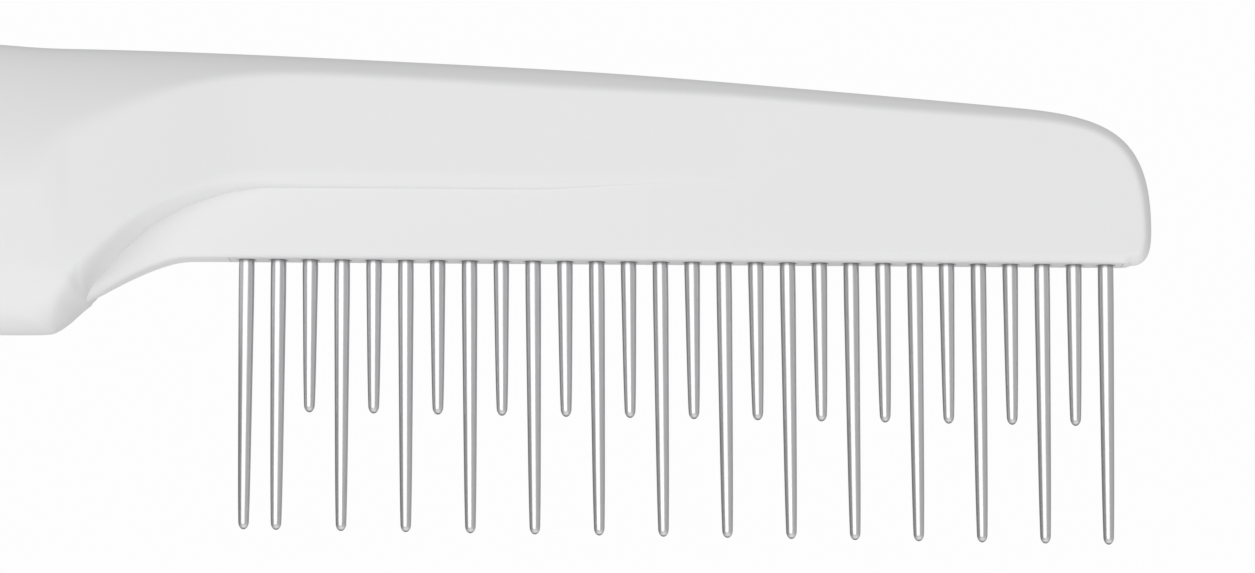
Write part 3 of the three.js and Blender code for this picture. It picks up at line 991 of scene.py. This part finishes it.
@dataclass
class HandleShells:
    """The front and rear halves of the hollow handle and head.

    Attributes:
        form: The outer form.
        hole: The hang hole.
        slot_low: Lowest corner of what the rail's slot holds.
        slot_high: Its highest corner.
        finish: What both halves are made of.
        slot_gap: Clearance round it.
        wall: Thickness of the side walls.
        roof: Thickness under the spine.
        floor: Thickness over the lower line.
        web_half: Half thickness of each cross web.
        web_x: Where the webs stand.
        pocket_ends: Where the first hollow starts and the last one stops.
        peg_radius: Radius of a locating peg.
        peg_reach: How far it stands out of the middle plane.
        peg_gap: Clearance of its socket.
        pocket_grid: Columns and rows of a hollow's skin.
        pocket_least: The least half thickness of a hollow.
        slot_below: How far below the rail the slot's cutter starts.
        straight: Where the columns stop closing up at the butt, and start again at the nose.
        runs: Where each even run of columns between them ends, and how many it has.
        butt_columns: Columns that close up at the butt.
        nose_columns: Columns that close up at the nose.
        body_rows: Rows from the step to the spine.
        edge_rows: Rows round the rail's lower edge.
        edge_share: The most of the rail's height that the rounded edge takes.
        face_rows: Rows up the rail's side.
        beyond: How far behind the middle plane a skin goes before it is cut.
        sharp_over: Degrees over which an edge is crisp.
        pieces: The two halves, once they are built.
    """

    form: CombForm
    hole: HangHole
    slot_low: Points
    slot_high: Points
    finish: SatinPlastic
    slot_gap: float = 0.06
    wall: float = 1.8
    roof: float = 2.4
    floor: float = 3.2
    web_half: float = 3.0
    web_x: tuple[float, ...] = (-139, -104, -72, -49, -20, 20)
    pocket_ends: tuple[float, float] = (-155, 47)
    peg_radius: float = 1.2
    peg_reach: float = 2.5
    peg_gap: float = 0.15
    pocket_grid: tuple[int, int] = (16, 12)
    pocket_least: float = 1.0
    slot_below: float = 5.0
    straight: tuple[float, float] = (-166.0, 30.0)
    runs: tuple[tuple[float, int], ...] = ((-152.0, 29), (-76.0, 130), (-64.8, 40), (-42.0, 90), (30.0, 140))
    butt_columns: int = 26
    nose_columns: int = 60
    body_rows: int = 76
    edge_rows: int = 12
    edge_share: float = 0.6
    face_rows: int = 10
    beyond: float = 1.0
    sharp_over: float = 32.0
    pieces: dict[Side, bpy.types.Object] = field(default_factory=dict)

    def stations(self) -> Points:
        """Places along the comb where the skin has a column of points, closing up at both ends.

        Returns:
            The places, in order.
        """
        start, stop = self.straight
        butt, nose = self.form.butt[0], self.form.nose[0]
        butt_turn = 1 - np.cos(np.linspace(0, math.pi / 2, self.butt_columns))
        nose_turn = np.sin(np.linspace(0, math.pi / 2, self.nose_columns))
        columns = [butt + (start - butt) * butt_turn, stop + (nose - stop) * nose_turn]
        for end, count in self.runs:
            columns.append(np.linspace(start, end, count))
            start = end
        return np.unique(np.concatenate(columns).round(6))

    def skin(self) -> Points:
        """The front half's outer skin.

        Returns:
            A grid of points: columns, rows and x, y, z.
        """
        form = self.form
        along = self.stations()
        rise = (1 - np.cos(np.linspace(0, math.pi, self.body_rows + 1))) / 2
        on_rail = along > form.rail_root[0]
        low = np.where(on_rail, form.step_law(along), np.interp(along, *form.handle_foot.T))
        high = np.interp(along, *form.spine.T)
        low[-1] = high[-1] = form.nose[1]
        low[0] = high[0] = form.butt[1]
        z = low[:, None] + (high - low)[:, None] * rise
        x, z, ring = self.hole.warp(np.repeat(along[:, None], self.body_rows + 1, 1), z)
        half = np.stack([form.body_half(x[i], z[i]) for i in range(len(along))])
        half[:, -1] = 0
        half = self.hole.roll_in(x, z, half, ring, self.beyond)
        body = np.stack([x, -form.seam - half, z], -1)
        rail = self.rail_columns(along, low, body)
        return np.concatenate([rail, body], 1)

    def rail_columns(self, along: Points, step: Points, body: Points) -> Points:
        """The rows of the rail, below the step: the flat underside, its rounded edge and the side face.

        Args:
            along: The stations.
            step: Height of the step at each.
            body: The rows above, whose lowest one closes the rail's columns where there is no rail.

        Returns:
            The rail's rows, which stop one short of the step.
        """
        form = self.form
        count = self.edge_rows + self.face_rows
        rail = np.repeat(body[:, :1], count, 1)
        bottom = np.interp(along, *form.foot.T)
        bottom[-1] = form.nose[1]
        for i in np.flatnonzero(along > form.rail_root[0]):
            height = step[i] - bottom[i]
            edge = min(form.rail_edge, self.edge_share * height)
            roll = 1 - np.cos(np.linspace(0, math.pi / 2, self.edge_rows))
            face = np.linspace(edge, height, self.face_rows + 1)[1:-1]
            z = bottom[i] + np.concatenate([[0], edge * roll, face])
            x = np.full(z.shape, along[i])
            half = form.rail_half(x, z)
            half[0] = 0
            rail[i] = np.stack([x, -form.seam - half, z], -1)
        return rail

    def pocket(self, start: float, stop: float) -> bpy.types.Mesh:
        """The room between two webs.

        Args:
            start: Where it starts along the comb.
            stop: Where it ends.

        Returns:
            A closed cutter.
        """
        form = self.form
        across, up = self.pocket_grid
        columns = []
        for at in np.linspace(start, stop, across):
            low = height_at(form.body_foot, at) + self.floor
            high = height_at(form.spine, at) - self.roof
            z = np.linspace(low, high, up)
            x = np.full(z.shape, at)
            half = np.maximum(form.body_half(x, z) - self.wall, self.pocket_least)
            columns.append(np.stack([x, -form.seam - half, z], -1))
        return relief("pocket", np.stack(columns), self.beyond)

    def peg_places(self) -> Points:
        """The middle of each web, where its locating peg stands.

        Returns:
            The points, in millimetres.
        """
        places = []
        for x in self.web_x:
            low = height_at(self.form.body_foot, x) + self.floor
            high = height_at(self.form.spine, x) - self.roof
            places.append((x, 0, (low + high) / 2))
        return np.array(places)

    def hollow(self) -> bpy.types.Mesh:
        """The front half before its pegs: skinned, hollowed and slotted, and flat at the seam.

        Returns:
            The closed mesh.
        """
        shell = relief("shell", self.skin(), self.beyond)
        behind = block("behind", (-FAR, -self.form.seam, -FAR), (FAR, FAR, FAR))
        shell = combine(shell, behind, Cut.TAKE_AWAY)
        edges = [self.pocket_ends[0] - self.web_half, *self.web_x, self.pocket_ends[1] + self.web_half]
        for start, stop in zip(edges, edges[1:]):
            shell = combine(shell, self.pocket(start + self.web_half, stop - self.web_half), Cut.TAKE_AWAY)
        low = (*(self.slot_low[:2] - self.slot_gap), -self.slot_below)
        return combine(shell, block("slot", low, self.slot_high + self.slot_gap), Cut.TAKE_AWAY)

    def build(self) -> None:
        """Makes both halves: pegs on the front one and their sockets in the rear one."""
        front = self.hollow()
        rear = mirrored(front, "rear_half")
        places, across = self.peg_places(), (90, 0, 0)
        pegs = bars_on_points(places, self.peg_radius, self.peg_radius, 2 * self.peg_reach, across)
        room, depth = self.peg_radius + self.peg_gap, self.peg_reach + self.peg_gap
        sockets = bars_on_points(places, room, room, 2 * depth, across)
        meshes = {
            Side.FRONT: combine(front, pegs, Cut.ADD),
            Side.REAR: combine(rear, sockets, Cut.TAKE_AWAY),
        }
        for side, mesh in meshes.items():
            shade(mesh, self.sharp_over)
            mesh.name = f"{side.value}_half"
            self.pieces[side] = link(f"{side.value}_half", mesh)
            log.info("%s half: %d faces", side.value, len(mesh.polygons))

    def dress(self) -> None:
        """Gives both halves their finish and sets them on the comb."""
        material = self.finish.build()
        for side, piece in self.pieces.items():
            paint(piece, material)
            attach(piece, BODY)
            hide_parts(f"{side.value}_shell")


# ---- Bars, bores and teeth -----------------------------------------------------------------------


def bar_tree() -> bpy.types.NodeTree:
    """A tree that stands a round bar on each point of a mesh, leaned by the point's own tilt.

    Returns:
        The tree, with the bar's sizes as its inputs.
    """
    group = bpy.data.node_groups.new("bars_on_points", "GeometryNodeTree")
    tree = Tree(group)
    tree.sockets(
        {
            "Geometry": ("NodeSocketGeometry", None),
            "Radius Top": ("NodeSocketFloat", 1.0),
            "Radius Bottom": ("NodeSocketFloat", 1.0),
            "Length": ("NodeSocketFloat", 1.0),
            "Turn": ("NodeSocketVector", None),
            "Sides": ("NodeSocketInt", 40),
        },
        {"Geometry": "NodeSocketGeometry"},
    )
    start = tree.add("NodeGroupInput")
    bar = tree.add(
        "GeometryNodeMeshCone",
        vertices=start.outputs["Sides"],
        radius_top=start.outputs["Radius Top"],
        radius_bottom=start.outputs["Radius Bottom"],
        depth=start.outputs["Length"],
    )
    half = tree.math("MULTIPLY", start.outputs["Length"], -0.5)
    lift = tree.add("ShaderNodeCombineXYZ", z=half)
    centred = tree.add("GeometryNodeTransform", geometry=bar.outputs["Mesh"], translation=lift.outputs[0])
    turned = tree.add("GeometryNodeTransform", geometry=centred.outputs[0], rotation=start.outputs["Turn"])
    tilt = tree.add("GeometryNodeInputNamedAttribute", {"data_type": "FLOAT"}, name="tilt")
    lean = tree.add("ShaderNodeCombineXYZ", y=tilt.outputs["Attribute"])
    spread = tree.add(
        "GeometryNodeInstanceOnPoints",
        points=start.outputs["Geometry"],
        instance=turned.outputs[0],
        rotation=lean.outputs[0],
    )
    real = tree.add("GeometryNodeRealizeInstances", geometry=spread.outputs[0])
    painted = tree.add("GeometryNodeSetMaterial", geometry=real.outputs[0])
    tree.add("NodeGroupOutput", geometry=painted.outputs[0])
    return group


def bars_on_points(
    places: Points,
    radius_top: float,
    radius_bottom: float,
    length: float,
    turn: tuple[float, float, float] = (0, 0, 0),
    tilts: Sequence[float] | None = None,
) -> bpy.types.Mesh:
    """Round bars that stand centred on a row of points.

    Args:
        places: The points in millimetres.
        radius_top: Radius at the top end.
        radius_bottom: Radius at the bottom end, which makes a cone where it differs.
        length: Length of each bar.
        turn: Degrees that every bar is turned by before it is placed.
        tilts: Radians that each bar leans by about Y, or none.

    Returns:
        One mesh of separate closed bars.
    """
    tree = bpy.data.node_groups.get("bars_on_points") or bar_tree()
    points = mesh_from("points", places, [])
    tilt = points.attributes.new("tilt", "FLOAT", "POINT")
    tilt.data.foreach_set("value", [0.0] * len(places) if tilts is None else list(tilts))
    return run_tree(
        points,
        tree,
        "bars",
        radius_top=radius_top * MM,
        radius_bottom=radius_bottom * MM,
        length=length * MM,
        turn=Vector(math.radians(angle) for angle in turn),
    )


@dataclass
class Tooth:
    """One tooth as the frame gives it: where it leaves the rail, its lean and its length."""

    name: str
    foot: float
    lean: float
    exposed: float
    seat: float

    @classmethod
    def from_frame(cls, joint: dict) -> "Tooth":
        """Reads a tooth's place from its turning joint and its length from its own box.

        Args:
            joint: The joint, as the frame lists it.

        Returns:
            The tooth.
        """
        name = joint["child"]
        axis = joint["axis"]
        lean = math.atan2(axis[0], -axis[2])
        low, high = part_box(name)
        return cls(name, joint["pos_m"][0] / MM, lean, -low.z / MM / math.cos(lean), high.z / MM)


@dataclass
class ToothRow:
    """The 28 headed teeth, each free to turn in its own bore."""

    teeth: list[Tooth]
    finish: DrawnSteel
    radius: float = 0.855
    taper: float = 0.22
    tip_taper: float = 0.08
    tip_length: float = 0.8
    long_over: float = 24.0
    long_parallel: float = 4.0
    short_parallel: float = 1.0
    head_radius: float = 1.3
    head_thickness: float = 0.8
    sides: int = 36
    wire_rings: int = 64
    head_rings: int = 8
    ring_crowding: float = 1.8
    tip_onset: float = 8.0
    head_squareness: float = 0.35
    merge_within: float = 1e-6
    sharp_over: float = 50.0
    pieces: list[bpy.types.Object] = field(default_factory=list)

    def tree(self) -> bpy.types.NodeTree:
        """A tree that turns a plain tube into a headed, tapered and round-tipped tooth.

        Returns:
            The tree, with the tooth's sizes and its material as its inputs.
        """
        group = bpy.data.node_groups.new("turned_tooth", "GeometryNodeTree")
        tree = Tree(group)
        sizes = (
            "Foot", "Lean", "Exposed", "Seat", "Radius", "Taper", "Tip Taper", "Tip Length", "Parallel",
            "Head Radius", "Head Thickness",
        )
        ins = {"Geometry": ("NodeSocketGeometry", None)}
        ins |= {name: ("NodeSocketFloat", 0.0) for name in sizes}
        ins |= {"Steel": ("NodeSocketMaterial", None)}
        tree.sockets(ins, {"Geometry": "NodeSocketGeometry"})
        start = tree.add("NodeGroupInput")
        given = start.outputs
        rings = self.wire_rings + self.head_rings
        tube = tree.add(
            "GeometryNodeMeshCylinder",
            {"fill_type": "NONE"},
            vertices=self.sides,
            side_segments=rings,
            radius=1.0,
            depth=1.0,
        )
        spot = tree.add("ShaderNodeSeparateXYZ", vector=tree.add("GeometryNodeInputPosition").outputs[0])
        share = tree.math("MULTIPLY", tree.math("ADD", spot.outputs["Z"], 0.5), rings / self.wire_rings)
        wire_z, wire_r = self.wire(tree, given, tree.math("MINIMUM", share, 1.0))
        part = tree.math("MULTIPLY", tree.math("SUBTRACT", share, 1.0), self.wire_rings / self.head_rings)
        head_z, head_r = self.head(tree, given, part)
        is_head = tree.math("GREATER_THAN", share, 1.0 + 0.5 / rings)
        pick = {"data_type": "FLOAT"}
        z = tree.add("ShaderNodeMix", pick, factor=is_head, a=wire_z, b=head_z).outputs[0]
        r = tree.add("ShaderNodeMix", pick, factor=is_head, a=wire_r, b=head_r).outputs[0]
        place = tree.add(
            "ShaderNodeCombineXYZ",
            x=tree.math("MULTIPLY", spot.outputs["X"], r),
            y=tree.math("MULTIPLY", spot.outputs["Y"], r),
            z=z,
        )
        shaped = tree.add("GeometryNodeSetPosition", geometry=tube.outputs["Mesh"], position=place.outputs[0])
        closed = tree.add(
            "GeometryNodeMergeByDistance", geometry=shaped.outputs[0], distance=self.merge_within
        )
        stood = tree.add(
            "GeometryNodeTransform",
            geometry=closed.outputs[0],
            translation=tree.add("ShaderNodeCombineXYZ", x=given["Foot"]).outputs[0],
            rotation=tree.add("ShaderNodeCombineXYZ", y=tree.math("MULTIPLY", given["Lean"], -1.0)).outputs[0],
        )
        real = tree.add("GeometryNodeRealizeInstances", geometry=stood.outputs[0])
        painted = tree.add("GeometryNodeSetMaterial", geometry=real.outputs[0], material=given["Steel"])
        tree.add("NodeGroupOutput", geometry=painted.outputs[0])
        return group

    def wire(
        self, tree: Tree, given: bpy.types.NodeOutputs, share: bpy.types.NodeSocket
    ) -> tuple[bpy.types.NodeSocket, bpy.types.NodeSocket]:
        """Height and radius of the wire.

        Args:
            tree: The tree that is being written.
            given: Its named inputs.
            share: 0 at the tip and 1 under the head.

        Returns:
            The height and the radius.
        """
        length = tree.math("ADD", given["Exposed"], given["Seat"])
        rise = tree.math("MULTIPLY", tree.math("POWER", share, self.ring_crowding), length)
        z = tree.math("SUBTRACT", rise, given["Exposed"])
        below = tree.math("SUBTRACT", tree.math("MULTIPLY", z, -1.0), given["Parallel"])
        ground = tree.math("SUBTRACT", given["Exposed"], given["Parallel"])
        t = tree.math("MAXIMUM", tree.math("DIVIDE", below, ground), 0.0)
        slim = tree.math("SUBTRACT", given["Radius"], tree.math("MULTIPLY", t, given["Taper"]))
        worn = tree.math("MULTIPLY", tree.math("POWER", t, self.tip_onset), given["Tip Taper"])
        slim = tree.math("SUBTRACT", slim, worn)
        rounded = tree.math("MINIMUM", tree.math("DIVIDE", rise, given["Tip Length"]), 1.0)
        short = tree.math("SUBTRACT", 1.0, rounded)
        tip = tree.math("SQRT", tree.math("SUBTRACT", 1.0, tree.math("MULTIPLY", short, short)))
        return z, tree.math("MULTIPLY", slim, tip)

    def head(
        self, tree: Tree, given: bpy.types.NodeOutputs, part: bpy.types.NodeSocket
    ) -> tuple[bpy.types.NodeSocket, bpy.types.NodeSocket]:
        """Height and radius of the upset head, a disc with soft edges.

        Args:
            tree: The tree that is being written.
            given: Its named inputs.
            part: 0 at the wire and 1 at the middle of the top.

        Returns:
            The height and the radius.
        """
        turn = tree.math("MULTIPLY", tree.math("SUBTRACT", part, 0.5), math.pi)
        level = tree.math("MAXIMUM", tree.math("COSINE", turn), 0.0)
        wide = tree.math("POWER", level, self.head_squareness)
        lean = tree.math("SINE", turn)
        tall = tree.math("POWER", tree.math("ABSOLUTE", lean), self.head_squareness)
        signed = tree.math("MULTIPLY", tall, tree.math("SIGN", lean))
        lift = tree.math("MULTIPLY", tree.math("MULTIPLY_ADD", signed, 0.5, 0.5), given["Head Thickness"])
        return tree.math("ADD", given["Seat"], lift), tree.math("MULTIPLY", given["Head Radius"], wide)

    def build(self) -> None:
        """Makes every tooth as a mesh of its own."""
        tree = self.tree()
        steel = self.finish.build()
        for tooth in self.teeth:
            is_long = tooth.exposed > self.long_over
            mesh = run_tree(
                bpy.data.meshes.new("blank"),
                tree,
                f"steel_{tooth.name}",
                foot=tooth.foot * MM,
                lean=tooth.lean,
                exposed=tooth.exposed * MM,
                seat=(tooth.seat - self.head_thickness) * MM,
                radius=self.radius * MM,
                taper=self.taper * MM,
                tip_taper=self.tip_taper * MM,
                tip_length=self.tip_length * MM,
                parallel=(self.long_parallel if is_long else self.short_parallel) * MM,
                head_radius=self.head_radius * MM,
                head_thickness=self.head_thickness * MM,
                steel=steel,
            )
            shade(mesh, self.sharp_over)
            self.pieces.append(link(f"steel_{tooth.name}", mesh))
        log.info("%d teeth of %d faces each", len(self.pieces), len(self.pieces[0].data.polygons))

    def dress(self) -> None:
        """Sets every tooth on its own turning body."""
        for tooth, piece in zip(self.teeth, self.pieces):
            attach(piece, tooth.name)
            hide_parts(tooth.name)


@dataclass
class ToothBar:
    """The bored bar that the teeth turn in, and the keeper strip over their heads."""

    teeth: list[Tooth]
    low: Points
    high: Points
    finish: SatinPlastic
    bore_radius: float = 0.95
    countersink: float = 0.25
    sharp_over: float = 30.0
    bar: bpy.types.Object | None = None

    def build(self) -> None:
        """Makes the bar: a block with a sloping top, and a bore and countersink for each tooth."""
        block_mesh = block("bored_bar", self.low, self.high)
        seats = {tooth.foot: tooth.seat for tooth in self.teeth}
        first, last = min(seats), max(seats)
        slope = (seats[last] - seats[first]) / (last - first)
        crest = self.high[2] * MM
        for vertex in block_mesh.vertices:
            if vertex.co.z > crest / 2:
                vertex.co.z = crest + slope * (vertex.co.x - self.low[0] * MM)
        places = np.array([(tooth.foot, 0, self.low[2]) for tooth in self.teeth])
        tilts = [-tooth.lean for tooth in self.teeth]
        bores = bars_on_points(places, self.bore_radius, self.bore_radius, 4 * self.high[2], tilts=tilts)
        sinks = bars_on_points(
            places,
            self.bore_radius - self.countersink,
            self.bore_radius + 2 * self.countersink,
            4 * self.countersink,
            tilts=tilts,
        )
        mesh = combine(combine(block_mesh, bores, Cut.TAKE_AWAY), sinks, Cut.TAKE_AWAY)
        shade(mesh, self.sharp_over)
        self.bar = link("bored_bar", mesh)
        log.info("bored bar: %d faces", len(mesh.polygons))

    def dress(self) -> None:
        """Gives the bar and the keeper their finish and sets the bar on the comb."""
        material = self.finish.build()
        paint(self.bar, material)
        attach(self.bar, BODY)
        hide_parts("tooth_carrier")
        paint(frame["nodes"]["tooth_keeper"], material)


# ---- Studio --------------------------------------------------------------------------------------


@dataclass
class Studio:
    """A pale tent: a wide soft box in front, light from all round, a floor and the camera."""

    aim: Vector
    focal_width: float = 36.0
    focal_length: float = 123.1
    camera_distance: float = 0.472
    camera_pitch: float = 7.0
    camera_roll: float = 0.38
    clip: tuple[float, float] = (0.01, 50)
    backdrop: float = 0.985
    tent: float = 0.38
    tent_right: float = 0.12
    tent_back: float = -0.10
    tent_up: float = 0.22
    tent_down: float = 0.92
    box_bearing: float = -14.5
    box_height: float = 2.0
    box_distance: float = 0.75
    box_size: tuple[float, float] = (0.97, 0.75)
    box_glow: float = 1.24
    floor_level: float = -0.075
    floor_size: float = 12.0
    floor_thickness: float = 0.001
    floor_tone: float = 0.85
    floor_roughness: float = 0.8
    floor_glow: float = 0.25

    def direction(self, bearing: float, height: float) -> Vector:
        """A unit vector from the comb: bearing 0 is towards the front and negative is to the left."""
        turn, rise = math.radians(bearing), math.radians(height)
        return Vector((math.sin(turn) * math.cos(rise), -math.cos(turn) * math.cos(rise), math.sin(rise)))

    def place_camera(self) -> None:
        """Sets the camera in front of the head and a little below it, looking slightly up."""
        data = bpy.data.cameras.new("camera")
        data.sensor_width = self.focal_width
        data.lens = self.focal_length
        data.clip_start, data.clip_end = self.clip
        camera = bpy.data.objects.new("camera", data)
        bpy.context.scene.collection.objects.link(camera)
        pitch, roll = math.radians(self.camera_pitch), math.radians(self.camera_roll)
        camera.location = self.aim + self.direction(0, -self.camera_pitch) * self.camera_distance
        facing = Euler((math.pi / 2 + pitch, 0, 0)).to_matrix() @ Euler((0, 0, roll)).to_matrix()
        camera.rotation_euler = facing.to_euler()
        bpy.context.scene.camera = camera

    def light_tent(self) -> None:
        """Lights the scene from all round: a little more from the right and above, and most from below."""
        world = bpy.data.worlds.new("tent")
        world.use_nodes = True
        bpy.context.scene.world = world
        tree = Tree(world.node_tree)
        world.node_tree.nodes.clear()
        heading = tree.add("ShaderNodeSeparateXYZ", vector=tree.add("ShaderNodeTexCoord").outputs["Generated"])
        glow = tree.math("MULTIPLY_ADD", heading.outputs["X"], self.tent_right, self.tent)
        glow = tree.math("MULTIPLY_ADD", heading.outputs["Y"], self.tent_back, glow)
        above = tree.math("MAXIMUM", heading.outputs["Z"], 0.0)
        below = tree.math("SUBTRACT", above, heading.outputs["Z"])
        glow = tree.math("MULTIPLY_ADD", above, self.tent_up, glow)
        glow = tree.math("MULTIPLY_ADD", tree.math("MULTIPLY", below, below), self.tent_down, glow)
        soft = tree.add("ShaderNodeBackground", color=(1, 1, 1, 1), strength=glow)
        white = tree.add("ShaderNodeBackground", color=(1, 1, 1, 1), strength=self.backdrop)
        seen = tree.add("ShaderNodeLightPath").outputs["Is Camera Ray"]
        mix = tree.add("ShaderNodeMixShader", i0=seen, i1=soft.outputs[0], i2=white.outputs[0])
        tree.add("ShaderNodeOutputWorld", surface=mix.outputs[0])

    def hang_box(self) -> None:
        """Hangs the wide soft box in front, left of the camera."""
        data = bpy.data.lights.new("front_box", "AREA")
        data.shape = "RECTANGLE"
        data.size, data.size_y = self.box_size
        data.energy = self.box_glow * math.pi * self.box_size[0] * self.box_size[1]
        lamp = bpy.data.objects.new("front_box", data)
        bpy.context.scene.collection.objects.link(lamp)
        towards = self.direction(self.box_bearing, self.box_height)
        lamp.location = self.aim + towards * self.box_distance
        lamp.rotation_euler = towards.to_track_quat("Z", "Y").to_euler()
        lamp.visible_camera = False

    def lay_floor(self) -> None:
        """Lays a plain pale floor below the comb. The light comes through it, as through a light table."""
        size, top = self.floor_size / MM / 2, self.floor_level / MM
        low, high = (-size, -size, top - self.floor_thickness / MM), (size, size, top)
        floor = link("floor", block("floor", low, high))
        material = bpy.data.materials.new("pale_floor")
        material.use_nodes = True
        Tree(material.node_tree).feed(
            material.node_tree.nodes["Principled BSDF"],
            base_color=(self.floor_tone,) * 3 + (1,),
            roughness=self.floor_roughness,
            emission_color=(1, 1, 1, 1),
            emission_strength=self.floor_glow,
        )
        floor.data.materials.append(material)
        floor.visible_diffuse = False
        floor.visible_glossy = False
        floor.visible_shadow = False

    def build(self) -> None:
        """Sets up camera, lights, floor and a plain picture response."""
        bpy.context.scene.view_settings.view_transform = "Standard"
        self.place_camera()
        self.light_tent()
        self.hang_box()
        self.lay_floor()
        log.info("studio ready")


# ---- Assembly ------------------------------------------------------------------------------------


def main() -> None:
    """Builds the comb's pieces round the frame, sub-assembly by sub-assembly."""
    logging.basicConfig(level=logging.INFO, format="%(name)s: %(message)s")
    spark_grain()
    tone_drift()
    low, high = (np.array(corner) / MM for corner in cad_box)
    bar_low, bar_high = (np.array(corner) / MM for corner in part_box("tooth_carrier"))
    keeper_high = np.array(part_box("tooth_keeper")[1]) / MM
    waist, hole_inset = 3.9, 10.2
    teeth = [Tooth.from_frame(joint) for joint in frame["joints"]]

    Studio(aim=Vector((-0.00534, 0, -0.00267))).build()

    shells = HandleShells(
        form=CombForm(butt=(low[0], waist), nose=(high[0], waist)),
        hole=HangHole(centre=(low[0] + hole_inset, waist)),
        slot_low=bar_low,
        slot_high=np.array([bar_high[0], bar_high[1], keeper_high[2]]),
        finish=SatinPlastic(
            "satin_shell", tone=(0.8, 0.8, 0.805), roughness=0.42, drift_size=30.0, drift_amount=0.02
        ),
    )
    shells.build()
    shells.dress()

    satin = SatinPlastic(
        "satin_bar", tone=(0.74, 0.74, 0.745), roughness=0.45, drift_size=12.0, drift_amount=0.02
    )
    bar = ToothBar(teeth, bar_low, bar_high, satin)
    bar.build()
    bar.dress()

    steel = DrawnSteel(
        "drawn_steel", tone=(0.70, 0.70, 0.71), roughness=0.29, drift_size=8.0, drift_amount=0.08
    )
    row = ToothRow(teeth, steel)
    row.build()
    row.dress()


if __name__ == "__main__":
    main()
